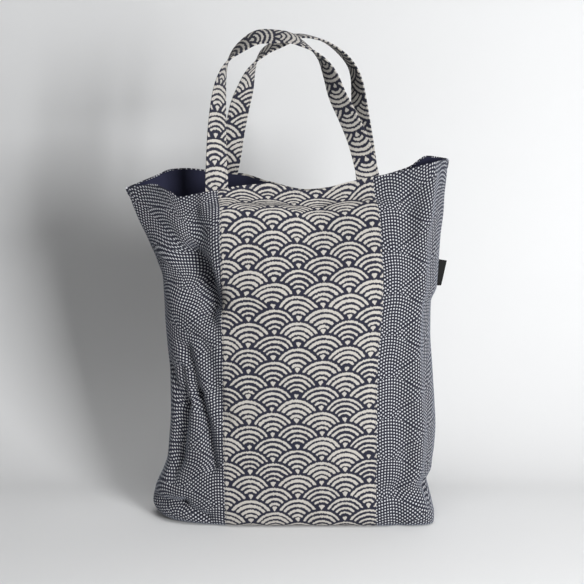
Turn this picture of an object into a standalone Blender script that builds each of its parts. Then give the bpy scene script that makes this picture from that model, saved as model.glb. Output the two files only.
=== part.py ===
# A lined patchwork tote bag, standing and softly filled, in metres with +Z up.
# Each face is a wide middle panel between two side panels. The cloth of a face is
# laid out flat as "across" (from the left side seam) and is then put on the body
# through a table of sections, a table for the mouth and a table of folds.
# The bag stands on z = 0, its front faces -Y, and its sides are as seen from there.

import math

import bpy
import numpy as np

# Sizes that can be set by themselves
body_width = 0.374          # between the two corners of the mouth
body_depth = 0.116          # front to back where the body is fullest
body_height = 0.428         # floor to the highest corner of the mouth
mouth_depth = 0.078         # front to back where the mouth stands open
face_cloth = 0.400          # cloth from side seam to side seam
middle_panel = 0.184        # cloth of the middle panel
outer_cloth = 0.0012
lining_cloth = 0.0010
strap_width = 0.026
strap_cloth = 0.0026        # the folded strap, four layers
strap_end_cloth = 0.0010    # the strap's end, pressed flat in the hem
strap_tuck = 0.020          # how deep an end goes below the edge of the mouth
handle_rise = 0.171         # edge of the mouth to the top of a handle
handles_apart = 0.030       # between the two handles' middles where they cross
label_reach = 0.0098        # how far the label stands out of the side seam
label_height = 0.031
label_cloth = 0.0010

# Clearances between neighbouring pieces
seam_gap = 0.0003
layer_gap = 0.0005
tuck_gap = 0.0005
lining_drop = 0.0015        # the lining's edge lies this far below the outer edge

# How the cloth behaves at its seams, corners and strap ends
bottom_share = 0.965        # length of the bottom seam as a share of the base
fold_fade = 0.02            # folds die out over this share of a section at its ends
corner_stretch = 2.2        # the most that a cloth's thickness grows in a sharp corner
pocket_spread = 1.2         # the lining's way back round a strap end, in half foot widths
pocket_depth = 1.15         # how far it goes down, in tucked lengths

side_panel = (face_cloth - middle_panel) / 2

# The standing body, one row for each level of cloth. "level" is a share of the
# height of the mouth's edge above it. Left, right and middle are shares of
# body_width from the bag's centre line, front and back are shares of body_depth,
# panel is the middle panel's straight width as a share of its cloth, square is the
# exponent of the rounded outline, and mouth is how far the mouth's shape rules.
section_columns = ("level", "left", "right", "middle", "front", "back", "panel", "square", "mouth")
sections = (
    (0.000, -0.372, 0.458, 0.042, 0.385, 0.385, 0.962, 3.2, 0.00),
    (0.008, -0.398, 0.460, 0.042, 0.425, 0.425, 0.962, 3.2, 0.00),
    (0.026, -0.421, 0.461, 0.041, 0.452, 0.452, 0.962, 3.1, 0.00),
    (0.050, -0.432, 0.459, 0.040, 0.462, 0.465, 0.961, 3.0, 0.00),
    (0.085, -0.426, 0.451, 0.040, 0.467, 0.472, 0.961, 2.9, 0.00),
    (0.110, -0.416, 0.445, 0.040, 0.470, 0.478, 0.961, 2.9, 0.00),
    (0.140, -0.401, 0.460, 0.039, 0.473, 0.483, 0.961, 2.9, 0.00),
    (0.190, -0.383, 0.466, 0.039, 0.478, 0.490, 0.962, 2.8, 0.00),
    (0.255, -0.376, 0.470, 0.038, 0.484, 0.498, 0.965, 2.8, 0.00),
    (0.340, -0.370, 0.465, 0.038, 0.487, 0.505, 0.965, 2.7, 0.00),
    (0.445, -0.370, 0.455, 0.038, 0.488, 0.512, 0.963, 2.7, 0.00),
    (0.540, -0.378, 0.448, 0.041, 0.485, 0.510, 0.975, 2.6, 0.00),
    (0.615, -0.383, 0.448, 0.043, 0.478, 0.505, 0.992, 2.6, 0.00),
    (0.655, -0.385, 0.465, 0.044, 0.474, 0.500, 1.000, 2.5, 0.02),
    (0.735, -0.389, 0.471, 0.044, 0.468, 0.490, 1.000, 2.5, 0.08),
    (0.795, -0.411, 0.476, 0.042, 0.462, 0.480, 0.993, 2.4, 0.22),
    (0.855, -0.436, 0.485, 0.040, 0.455, 0.470, 0.991, 2.3, 0.45),
    (0.905, -0.461, 0.489, 0.037, 0.445, 0.460, 0.982, 2.3, 0.68),
    (0.950, -0.480, 0.496, 0.030, 0.430, 0.450, 0.962, 2.2, 0.88),
    (1.000, -0.498, 0.500, 0.026, 0.430, 0.450, 0.957, 2.2, 1.00),
)

# The edge of the mouth, one row for each place from its left corner to its right
# one. The depths are shares of mouth_depth and the heights of body_height.
mouth_columns = ("place", "front", "front_height", "back", "back_height")
mouth = (
    (0.000, -0.03, 0.918, -0.03, 0.918),
    (0.045, -0.12, 0.925, 0.13, 0.940),
    (0.090, -0.24, 0.930, 0.26, 0.956),
    (0.130, -0.35, 0.924, 0.36, 0.962),
    (0.170, -0.42, 0.908, 0.44, 0.964),
    (0.230, -0.46, 0.914, 0.53, 0.959),
    (0.290, -0.44, 0.918, 0.51, 0.954),
    (0.360, -0.33, 0.928, 0.45, 0.949),
    (0.440, -0.22, 0.932, 0.26, 0.932),
    (0.560, -0.10, 0.911, 0.12, 0.912),
    (0.700, -0.09, 0.937, 0.12, 0.930),
    (0.870, -0.15, 0.975, 0.14, 0.970),
    (0.935, -0.15, 0.995, 0.28, 1.000),
    (1.000, 0.19, 0.993, 0.19, 0.993),
)

# Folds and dents, one row for each straight run. A run goes from one place and
# level to another, both shares of the section, and has a half width and a depth in
# shares of body_depth, where a dent is less than nothing.
fold_columns = ("side", "place_a", "level_a", "place_b", "level_b", "half_width", "depth")
folds = (
    ("front", 0.120, 0.790, 0.190, 0.690, 0.130, -0.110),    # deep dimple in the left shoulder
    ("front", 0.010, 0.735, 0.110, 0.750, 0.075, -0.050),    # crease from the left edge to it
    ("front", 0.060, 0.830, 0.230, 0.860, 0.140, 0.020),     # swell above the dimple
    ("front", 0.060, 0.660, 0.150, 0.600, 0.110, 0.030),     # swell below the dimple
    ("front", 0.045, 0.470, 0.060, 0.360, 0.060, -0.055),    # first long fold, upper half
    ("front", 0.060, 0.360, 0.045, 0.170, 0.060, -0.055),    # first long fold, lower half
    ("front", 0.080, 0.530, 0.110, 0.400, 0.065, -0.060),    # second long fold
    ("front", 0.110, 0.400, 0.180, 0.190, 0.065, -0.060),    # second long fold, lower half
    ("front", 0.150, 0.560, 0.210, 0.330, 0.080, -0.035),    # third long fold, shallow
    ("front", 0.010, 0.060, 0.110, 0.064, 0.050, -0.045),    # tuck over the left bottom corner
    ("front", 0.110, 0.064, 0.190, 0.026, 0.050, -0.045),
    ("front", 0.300, 0.945, 0.600, 0.945, 0.070, -0.030),    # the hem's lower edge gives way
    ("front", 0.890, 0.200, 0.860, 0.020, 0.090, -0.030),    # slack above the right corner
    ("front", 0.930, 0.880, 0.925, 0.120, 0.090, 0.022),     # edge where the right side turns
    ("back", 0.120, 0.760, 0.260, 0.700, 0.130, -0.060),
    ("back", 0.850, 0.820, 0.700, 0.740, 0.130, -0.045),
    ("back", 0.090, 0.500, 0.140, 0.200, 0.075, -0.045),
    ("back", 0.900, 0.450, 0.840, 0.170, 0.075, -0.045),
    ("back", 0.300, 0.945, 0.620, 0.945, 0.070, -0.025),
)

# The handles, one row for each place on the way from the left foot to the right
# one: the way along as a share of the distance between the feet, the way out from
# between the handles in shares of handles_apart, the height over the edge of the
# mouth as a share of handle_rise, and the turn of the strap in degrees. At 0 the
# strap lies flat to the front and at 90 its edge points there.
handle_columns = ("along", "out", "height", "turn")
front_handle_way = (
    (-0.012, -1.12, 0.20, 8),
    (-0.010, -1.00, 0.36, 28),
    (0.003, -0.88, 0.53, 45),
    (0.025, -0.76, 0.67, 62),
    (0.060, -0.66, 0.81, 84),
    (0.155, -0.56, 0.925, 106),
    (0.300, -0.50, 0.990, 116),
    (0.440, -0.50, 1.000, 112),
    (0.560, -0.48, 0.955, 104),
    (0.680, -0.44, 0.862, 90),
    (0.745, -0.40, 0.750, 62),
    (0.790, -0.36, 0.620, 34),
    (0.840, -0.34, 0.510, 22),
    (0.910, -0.30, 0.356, 12),
    (0.955, -0.26, 0.230, 5),
)
back_handle_way = (
    (0.035, 1.00, 0.160, 20),
    (0.060, 0.88, 0.300, 28),
    (0.100, 0.74, 0.490, 32),
    (0.140, 0.64, 0.620, 46),
    (0.185, 0.56, 0.760, 74),
    (0.280, 0.50, 0.890, 104),
    (0.400, 0.50, 0.955, 108),
    (0.530, 0.50, 1.000, 100),
    (0.660, 0.50, 0.975, 92),
    (0.790, 0.46, 0.895, 82),
    (0.890, 0.42, 0.780, 72),
    (0.940, 0.38, 0.660, 56),
    (0.960, 0.34, 0.500, 34),
    (0.980, 0.30, 0.310, 14),
)

# How far a handle's foot stands from the seam that it covers, left and right
foot_shift = {"front": (0.000, -0.005), "back": (0.007, -0.005)}
# The handles rise from their own edge of the mouth, so the back one is less high
rise_share = {"front": 1.0, "back": 0.925}

# Where the label stands in the right side seam, and how much shorter its foot is
label_level = 0.728
label_slant = 0.40

# Fineness of the cloth's net and of the straps
left_steps = 9
middle_steps = 7
right_steps = 8
strap_steps = 34
outline_steps = 400

foot_margin = 0.0010        # cloth beside a strap end that the lining also clears
foot_half = strap_width / 2 + foot_margin


def column(table, names, name):
    return np.array([row[names.index(name)] for row in table], dtype=float)


def smooth(places, values, at):
    # A curve through the values without overshoot between them.
    places = np.asarray(places, dtype=float)
    values = np.asarray(values, dtype=float)
    at = np.clip(np.asarray(at, dtype=float), places[0], places[-1])
    widths = np.diff(places)
    rises = np.diff(values) / widths
    slopes = np.zeros_like(values)
    slopes[0] = rises[0]
    slopes[-1] = rises[-1]
    for k in range(1, len(values) - 1):
        if rises[k - 1] * rises[k] > 0:
            slopes[k] = 2 * rises[k - 1] * rises[k] / (rises[k - 1] + rises[k])
    span = np.clip(np.searchsorted(places, at) - 1, 0, len(widths) - 1)
    s = (at - places[span]) / widths[span]
    value = values[span] * (1 + 2 * s) * (1 - s) ** 2
    value = value + values[span + 1] * s ** 2 * (3 - 2 * s)
    value = value + slopes[span] * widths[span] * s * (1 - s) ** 2
    return value - slopes[span + 1] * widths[span] * s ** 2 * (1 - s)


def fold_depth(side, place, level):
    # The nearest point of each run decides how much of its depth is felt.
    total = np.zeros_like(place)
    for row in folds:
        fold = dict(zip(fold_columns, row))
        if fold["side"] != side:
            continue
        run_x = (fold["place_b"] - fold["place_a"]) * body_width
        run_z = (fold["level_b"] - fold["level_a"]) * body_height
        away_x = (place - fold["place_a"]) * body_width
        away_z = (level - fold["level_a"]) * body_height
        share = np.clip((away_x * run_x + away_z * run_z) / (run_x ** 2 + run_z ** 2), 0, 1)
        distance = np.hypot(away_x - share * run_x, away_z - share * run_z)
        reach = fold["half_width"] * body_depth
        total = total + fold["depth"] * body_depth * np.exp(-(distance / reach) ** 2)
    return total


def cloth_columns(side):
    # The net's columns on the flat cloth, with one at each seam and at each side
    # of a handle's foot.
    left_seam = side_panel
    right_seam = face_cloth - side_panel
    left_foot = left_seam + foot_shift[side][0]
    right_foot = right_seam + foot_shift[side][1]
    left = np.linspace(0, left_foot - foot_half, left_steps + 1)
    middle = np.linspace(left_foot + foot_half, right_foot - foot_half, middle_steps + 1)
    right = np.linspace(right_foot + foot_half, face_cloth, right_steps + 1)
    return np.concatenate([left, [left_seam], middle, [right_seam], right])


seam_columns = (left_steps + 1, left_steps + middle_steps + 3)


def section_curve(side, row):
    # One level of a face as a fine line of points from the left to the right side
    # seam, before the cloth's own columns are set out on it.
    values = dict(zip(section_columns, sections[row]))
    sign = -1 if side == "front" else 1
    left = values["left"] * body_width
    right = values["right"] * body_width
    turn = np.linspace(0, math.pi, outline_steps)
    power = 2 / values["square"]
    across = np.cos(turn)
    x = (left + right) / 2 - (right - left) / 2 * np.sign(across) * np.abs(across) ** power
    y_body = sign * values[side] * body_depth * np.sin(turn) ** power
    place = (x - left) / (right - left)
    mouth_place = column(mouth, mouth_columns, "place")
    y_mouth = smooth(mouth_place, column(mouth, mouth_columns, side), place) * mouth_depth
    y = y_body * (1 - values["mouth"]) + y_mouth * values["mouth"]
    heights = column(mouth, mouth_columns, side + "_height")
    z = smooth(mouth_place, heights, place) * body_height * values["level"]
    run_x = np.gradient(x)
    run_y = np.gradient(y)
    run = np.hypot(run_x, run_y) + 1e-12
    dent = fold_depth(side, place, np.full_like(place, values["level"]))
    dent = dent * np.clip(np.minimum(place, 1 - place) / fold_fade, 0, 1)
    dent[0] = 0
    dent[-1] = 0
    out_x = -run_y / run * sign
    out_y = run_x / run * sign
    return np.stack([x + out_x * dent, y + out_y * dent, z], axis=1)


def set_out(line, side, row):
    # Puts the cloth's columns on a section, each panel keeping its own share.
    values = dict(zip(section_columns, sections[row]))
    steps = np.linalg.norm(np.diff(line[:, :2], axis=0), axis=1)
    length = np.concatenate([[0], np.cumsum(steps)])
    half = values["panel"] * middle_panel / 2
    seams_x = (values["middle"] * body_width - half, values["middle"] * body_width + half)
    seams_at = [length[np.argmin(np.abs(line[:, 0] - x))] for x in seams_x]
    knots = [0, seams_at[0], seams_at[1], length[-1]]
    cloth = [0, side_panel, face_cloth - side_panel, face_cloth]
    at = np.interp(cloth_columns(side), cloth, knots)
    return np.stack([np.interp(at, length, line[:, k]) for k in range(3)], axis=1)


def bag_net():
    # The outer surface of the whole bag as one net: row 0 is the bottom seam, row 1
    # the outline of the base, and the last row the edge of the mouth.
    faces = {}
    for side in ("front", "back"):
        rows = [set_out(section_curve(side, row), side, row) for row in range(len(sections))]
        faces[side] = np.array([rows[0]] + rows)
    seam_x = (faces["front"][1, :, 0] + faces["back"][1, :, 0]) / 2
    centre = (seam_x[0] + seam_x[-1]) / 2
    for side in ("front", "back"):
        faces[side][0, :, 0] = centre + (seam_x - centre) * bottom_share
        faces[side][0, :, 1] = 0
        faces[side][:2, :, 2] = 0
    for end in (0, -1):
        shared = (faces["front"][:, end] + faces["back"][:, end]) / 2
        faces["front"][:, end] = shared
        faces["back"][:, end] = shared
    return faces


def number_net(faces):
    # One list of points for both faces, which share the side seams and the bottom.
    rows, columns = faces["front"].shape[:2]
    points = []
    numbers = {}
    for side in ("front", "back"):
        table = np.zeros((rows, columns), dtype=int)
        for i in range(rows):
            for j in range(columns):
                if side == "back" and (i == 0 or j in (0, columns - 1)):
                    table[i, j] = numbers["front"][i, j]
                    continue
                table[i, j] = len(points)
                points.append(faces[side][i, j])
        numbers[side] = table
    return np.array(points), numbers


def net_triangles(table, side, first, last):
    # Triangles that face outwards, between two columns of the net. Their diagonals
    # lean towards the side seams, so that none is flat at the ends of the bottom.
    triangles = []
    centre = table.shape[1] // 2
    for i in range(table.shape[0] - 1):
        for j in range(first, last):
            a, b = table[i, j], table[i, j + 1]
            c, d = table[i + 1, j + 1], table[i + 1, j]
            pair = [(a, b, c), (a, c, d)] if j < centre else [(a, b, d), (b, c, d)]
            if side == "back":
                pair = [(r, q, p) for p, q, r in pair]
            triangles += pair
    return triangles


def inward(points, triangles):
    # At each point, the way to move so that a cloth of thickness 1 lies inside.
    corners = points[np.array(triangles)]
    normals = np.cross(corners[:, 1] - corners[:, 0], corners[:, 2] - corners[:, 0])
    normals = normals / (np.linalg.norm(normals, axis=1, keepdims=True) + 1e-15)
    meet = [[] for _ in points]
    for k, triangle in enumerate(triangles):
        tri = points[list(triangle)]
        for n in range(3):
            one = tri[(n + 1) % 3] - tri[n]
            two = tri[(n + 2) % 3] - tri[n]
            cosine = one.dot(two) / (np.linalg.norm(one) * np.linalg.norm(two) + 1e-15)
            meet[triangle[n]].append((math.acos(max(-1, min(1, cosine))), normals[k]))
    ways = np.zeros_like(points)
    for k, around in enumerate(meet):
        mean = sum(angle * normal for angle, normal in around)
        mean = mean / np.linalg.norm(mean)
        lean = min(normal.dot(mean) for _, normal in around)
        ways[k] = -mean / max(lean, 1 / corner_stretch)
    return ways


def material(name, colour, roughness):
    made = bpy.data.materials.new(name)
    made.use_nodes = True
    shader = made.node_tree.nodes["Principled BSDF"]
    shader.inputs["Base Color"].default_value = (*colour, 1)
    shader.inputs["Roughness"].default_value = roughness
    shader.inputs["Metallic"].default_value = 0
    return made


def add_object(name, points, triangles, finish):
    mesh = bpy.data.meshes.new(name)
    mesh.from_pydata([tuple(point) for point in points], [], [tuple(t) for t in triangles])
    mesh.validate()
    mesh.shade_smooth()
    mesh.set_sharp_from_angle(angle=math.radians(50))
    mesh.materials.append(finish)
    made = bpy.data.objects.new(name, mesh)
    bpy.context.collection.objects.link(made)
    return made


def close_wall(outer, inner, triangles):
    # A wall from an outer and an inner skin that share one list of triangles.
    used = sorted({n for triangle in triangles for n in triangle})
    new = {old: k for k, old in enumerate(used)}
    count = len(used)
    points = np.concatenate([outer[used], inner[used]])
    made = []
    edges = {}
    for a, b, c in triangles:
        made.append((new[a], new[b], new[c]))
        made.append((new[c] + count, new[b] + count, new[a] + count))
        for p, q in ((a, b), (b, c), (c, a)):
            edges[(p, q)] = edges.get((p, q), 0) + 1
    for p, q in edges:
        if (q, p) not in edges:
            made.append((new[q], new[p], new[p] + count))
            made.append((new[q], new[p] + count, new[q] + count))
    return points, made


def panel(name, side, table, first, last, points, ways, finish):
    # One cloth panel, drawn back from its seams by half the gap between pieces.
    skins = []
    for depth in (0, outer_cloth):
        skin = points + ways * depth
        moved = skin.copy()
        for edge, beside in ((first, first + 1), (last, last - 1)):
            way = skin[table[1:, beside]] - skin[table[1:, edge]]
            way = way / np.linalg.norm(way, axis=1, keepdims=True)
            moved[table[1:, edge]] += way * seam_gap / 2
        for j in range(first, last + 1):
            sign = -1 if side == "front" else 1
            moved[table[0, j], 1] = sign * seam_gap / 2
        for edge, sign in ((first, 1), (last, -1)):
            moved[table[0, edge], 0] += sign * seam_gap / 2
        skins.append(moved)
    triangles = net_triangles(table, side, first, last)
    made_points, made = close_wall(skins[0], skins[1], triangles)
    return add_object(name, made_points, made, finish)


def net_at(values, table, side, cloth, row):
    # A value of the net at a place on the flat cloth and a row, whole or between.
    columns = cloth_columns(side)
    low = min(int(row), table.shape[0] - 2)
    share = row - low
    found = []
    for i in (low, low + 1):
        found.append([np.interp(cloth, columns, values[table[i], k]) for k in range(3)])
    return np.array(found[0]) * (1 - share) + np.array(found[1]) * share


def row_below(points, table, side, cloth, depth):
    # The row, whole or between, that lies a length of cloth below the mouth's edge.
    row = table.shape[0] - 1
    upper = net_at(points, table, side, cloth, row)
    left = depth
    while row > 1:
        lower = net_at(points, table, side, cloth, row - 1)
        step = np.linalg.norm(upper - lower)
        if step >= left:
            return row - left / step
        left = left - step
        upper = lower
        row = row - 1
    return row


def pocket(points, numbers):
    # How much further in the lining lies at each point, to clear the strap ends.
    extra = np.zeros(len(points))
    room = strap_end_cloth + 2 * tuck_gap - layer_gap
    for side in ("front", "back"):
        table = numbers[side]
        columns = cloth_columns(side)
        for seam, shift in zip((side_panel, face_cloth - side_panel), foot_shift[side]):
            foot = seam + shift
            spread = foot_half * pocket_spread
            inside = np.clip((foot_half + spread - np.abs(columns - foot)) / spread, 0, 1)
            lowest = row_below(points, table, side, foot, strap_tuck * pocket_depth)
            for i in range(table.shape[0]):
                depth = np.clip(i - int(lowest) + 1, 0, 1)
                extra[table[i]] = np.maximum(extra[table[i]], room * inside * depth)
    return extra


def strap_rings(side, way, points, ways, table):
    # The strap as rings of eight points from inside the left hem, over the top and
    # into the right hem.
    across = np.array([-1, -0.35, 0.35, 1]) * strap_width / 2
    feet = [side_panel + foot_shift[side][0], face_cloth - side_panel + foot_shift[side][1]]
    rings = {}
    centres = []
    for end, foot in enumerate(feet):
        rings[end] = []
        lowest = row_below(points, table, side, foot, strap_tuck)
        highest = row_below(points, table, side, foot, strap_end_cloth)
        between = range(math.floor(lowest) + 1, table.shape[0] - 1)
        for row in (lowest, *between, highest):
            ring = []
            for face in (0, 1):
                inset = outer_cloth + tuck_gap + strap_end_cloth * face
                line = []
                for offset in across:
                    at = net_at(points, table, side, foot + offset, row)
                    line.append(at + net_at(ways, table, side, foot + offset, row) * inset)
                ring.append(line)
            rings[end].append(np.array(ring))
        centres.append(np.mean(rings[end][-1].reshape(-1, 3), axis=0))
    start, finish = centres
    rise = handle_rise * rise_share[side]
    stations = [start]
    turns = [0.0]
    for row in way:
        place = dict(zip(handle_columns, row))
        x = start[0] + (finish[0] - start[0]) * place["along"]
        z = start[2] + place["height"] * rise
        stations.append(np.array([x, place["out"] * handles_apart, z]))
        turns.append(place["turn"])
    stations.append(finish)
    turns.append(0.0)
    stations = np.array(stations)
    lengths = np.concatenate([[0], np.cumsum(np.linalg.norm(np.diff(stations, axis=0), axis=1))])
    fine = np.linspace(0, lengths[-1], strap_steps + 1)
    path = np.stack([smooth(lengths, stations[:, k], fine) for k in range(3)], axis=1)
    turn = np.radians(smooth(lengths, turns, fine))
    tangent = np.gradient(path, axis=0)
    tangent = tangent / np.linalg.norm(tangent, axis=1, keepdims=True)
    sign = -1 if side == "front" else 1
    free = []
    for k in range(1, strap_steps):
        ahead = np.array([0.0, 1.0, 0.0])
        flat = np.cross(ahead, tangent[k])
        flat = flat / np.linalg.norm(flat)
        deep = np.cross(tangent[k], flat)
        wide = flat * math.cos(turn[k]) + deep * math.sin(turn[k])
        thick = np.cross(wide, tangent[k])
        grow = min(1, min(k, strap_steps - k) / 2)
        cloth = strap_end_cloth + (strap_cloth - strap_end_cloth) * grow
        out = thick if thick[1] * sign * math.cos(turn[k]) >= 0 else -thick
        ring = []
        for face in (0.5, -0.5):
            edge = np.array([0.55, 1, 1, 0.55])
            ring.append([path[k] + wide * a + out * cloth * face * e for a, e in zip(across, edge)])
        free.append(np.array(ring))
    return rings[0] + free + rings[1][::-1]


def strap(name, side, way, points, ways, table, finish):
    rings = strap_rings(side, way, points, ways, table)
    loops = [[*ring[0], *ring[1][::-1]] for ring in rings]
    # The right foot is set out left to right too, so its rings run the other way round.
    fixed = [np.array(loops[0])]
    for loop in loops[1:]:
        loop = np.array(loop)
        turned = np.array([loop[3], loop[2], loop[1], loop[0], loop[7], loop[6], loop[5], loop[4]])
        before = fixed[-1]
        keep = np.linalg.norm(before - loop, axis=1).sum()
        swap = np.linalg.norm(before - turned, axis=1).sum()
        fixed.append(loop if keep <= swap else turned)
    size = 8
    made_points = np.concatenate(fixed)
    triangles = []
    for k in range(len(fixed) - 1):
        for n in range(size):
            a = k * size + n
            b = k * size + (n + 1) % size
            c = b + size
            d = a + size
            triangles += [(a, b, c), (a, c, d)]
    last = (len(fixed) - 1) * size
    for a, b, c, d in ((0, 1, 6, 7), (1, 2, 5, 6), (2, 3, 4, 5)):
        triangles += [(a, c, b), (a, d, c)]
        triangles += [(last + a, last + b, last + c), (last + a, last + c, last + d)]
    corners = made_points[np.array(triangles)]
    volume = np.einsum("ij,ij->i", corners[:, 0], np.cross(corners[:, 1], corners[:, 2])).sum()
    if volume < 0:
        triangles = [(c, b, a) for a, b, c in triangles]
    return add_object(name, made_points, triangles, finish)


def side_label(points, numbers, finish):
    # A folded tape in the right side seam, longer at its top than at its foot.
    table = numbers["front"]
    seam = points[table[:, -1]]
    top_z = label_level * seam[-1][2]
    foot_z = top_z - label_height
    near_x = [np.interp(z, seam[1:, 2], seam[1:, 0]) for z in (foot_z, top_z)]
    near_y = [np.interp(z, seam[1:, 2], seam[1:, 1]) for z in (foot_z, top_z)]
    heights = [foot_z, *[z for z in seam[1:, 2] if foot_z < z < top_z], top_z]
    chord = np.interp(heights, (foot_z, top_z), near_x)
    bulge = max(np.interp(heights, seam[1:, 2], seam[1:, 0]) - chord)
    clear = max(0, bulge) + seam_gap
    foot_reach = label_reach * (1 - label_slant)
    corners = [
        (near_x[0] + clear, near_y[0], foot_z),
        (near_x[0] + clear + foot_reach, near_y[0], foot_z + label_reach * 0.05),
        (near_x[1] + clear + label_reach, near_y[1], top_z - label_reach * 0.2),
        (near_x[1] + clear, near_y[1], top_z),
    ]
    made_points = []
    for way in (-0.5, 0.5):
        made_points += [(x, y + way * label_cloth, z) for x, y, z in corners]
    triangles = [(0, 1, 2), (0, 2, 3), (6, 5, 4), (7, 6, 4)]
    for a in range(4):
        b = (a + 1) % 4
        triangles += [(b, a, a + 4), (b, a + 4, b + 4)]
    return add_object("side_label", np.array(made_points), triangles, finish)


def lining(points, ways, numbers, finish):
    # One inner bag, closed at the bottom, a little lower than the outer edge.
    extra = pocket(points, numbers)
    skins = []
    for depth in (outer_cloth + layer_gap, outer_cloth + layer_gap + lining_cloth):
        skin = points + ways * (depth + extra[:, None])
        lowered = skin.copy()
        for side in ("front", "back"):
            top = numbers[side][-1]
            below = skin[numbers[side][-2]] - skin[top]
            below = below / np.linalg.norm(below, axis=1, keepdims=True)
            lowered[top] = skin[top] + below * lining_drop
        skins.append(lowered)
    triangles = []
    for side in ("front", "back"):
        triangles += net_triangles(numbers[side], side, 0, numbers[side].shape[1] - 1)
    made_points, made = close_wall(skins[0], skins[1], triangles)
    return add_object("lining", made_points, made, finish)


def build():
    for old in list(bpy.data.objects):
        bpy.data.objects.remove(old)
    wave_cloth = material("wave_cloth", (0.30, 0.29, 0.30), 0.9)
    dot_cloth = material("dot_cloth", (0.055, 0.057, 0.085), 0.9)
    lining_navy = material("lining_cloth", (0.018, 0.020, 0.045), 0.92)
    label_tape = material("label_tape", (0.008, 0.008, 0.010), 0.6)

    points, numbers = number_net(bag_net())
    columns = numbers["front"].shape[1]
    whole = []
    for side in ("front", "back"):
        whole += net_triangles(numbers[side], side, 0, columns - 1)
    ways = inward(points, whole)

    cuts = (0, seam_columns[0], seam_columns[1], columns - 1)
    names = ("left_panel", "center_panel", "right_panel")
    cloths = (dot_cloth, wave_cloth, dot_cloth)
    for side in ("front", "back"):
        for k in range(3):
            name = side + "_" + names[k]
            panel(name, side, numbers[side], cuts[k], cuts[k + 1], points, ways, cloths[k])
    lining(points, ways, numbers, lining_navy)
    strap("front_handle", "front", front_handle_way, points, ways, numbers["front"], wave_cloth)
    strap("back_handle", "back", back_handle_way, points, ways, numbers["back"], wave_cloth)
    side_label(points, numbers, label_tape)

    # The whole bag is moved so that the middle of its box is over the origin.
    made = [thing for thing in bpy.data.objects if thing.type == "MESH"]
    corners = np.array([vertex.co[:] for thing in made for vertex in thing.data.vertices])
    low = corners.min(axis=0)
    high = corners.max(axis=0)
    for thing in made:
        for vertex in thing.data.vertices:
            vertex.co.x -= (low[0] + high[0]) / 2
            vertex.co.y -= (low[1] + high[1]) / 2
            vertex.co.z -= low[2]


build()
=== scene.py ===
# A lined patchwork tote bag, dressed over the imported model: printed cloth with its
# folds, seams and stitches, two folded cloth handles, a lining and a plain side tag.
import math

import bpy
import bmesh
import numpy as np
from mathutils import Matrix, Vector


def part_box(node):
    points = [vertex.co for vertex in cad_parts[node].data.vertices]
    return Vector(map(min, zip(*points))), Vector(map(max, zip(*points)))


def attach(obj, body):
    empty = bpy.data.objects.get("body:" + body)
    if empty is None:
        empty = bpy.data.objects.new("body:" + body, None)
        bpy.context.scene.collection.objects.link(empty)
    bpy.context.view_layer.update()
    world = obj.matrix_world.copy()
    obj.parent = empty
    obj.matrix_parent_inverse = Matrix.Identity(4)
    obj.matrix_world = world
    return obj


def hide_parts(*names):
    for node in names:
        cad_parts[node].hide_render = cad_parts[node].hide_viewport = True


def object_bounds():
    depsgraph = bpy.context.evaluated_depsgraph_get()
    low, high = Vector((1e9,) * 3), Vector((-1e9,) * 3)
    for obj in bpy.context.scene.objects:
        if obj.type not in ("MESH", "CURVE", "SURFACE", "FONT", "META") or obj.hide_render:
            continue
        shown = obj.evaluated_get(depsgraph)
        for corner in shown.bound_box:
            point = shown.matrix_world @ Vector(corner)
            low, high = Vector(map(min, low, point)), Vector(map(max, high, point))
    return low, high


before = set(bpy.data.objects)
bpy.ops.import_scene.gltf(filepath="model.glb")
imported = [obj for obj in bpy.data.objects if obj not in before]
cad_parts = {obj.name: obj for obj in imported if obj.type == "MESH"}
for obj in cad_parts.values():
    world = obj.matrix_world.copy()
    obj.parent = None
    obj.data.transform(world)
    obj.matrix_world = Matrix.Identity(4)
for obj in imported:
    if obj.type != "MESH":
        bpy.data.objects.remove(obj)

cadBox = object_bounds()
mm = 0.001
faceSign = dict(front=-1, back=1)       # the front looks along -Y

# The body, in metres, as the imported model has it
body = dict(width=0.374, depth=0.116, height=0.428, mouthDepth=0.078,
            faceCloth=0.400, middleCloth=0.184, flatHeight=0.445, wall=0.0012,
            seamGap=0.0001, seamSink=0.0006, seamReach=0.0017, bottomShare=0.965,
            cornerSquare=6.0, cornerRise=0.10, rowStep=0.0022, columnStep=0.0022, baseRows=19)
sideCloth = (body["faceCloth"] - body["middleCloth"]) / 2

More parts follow.
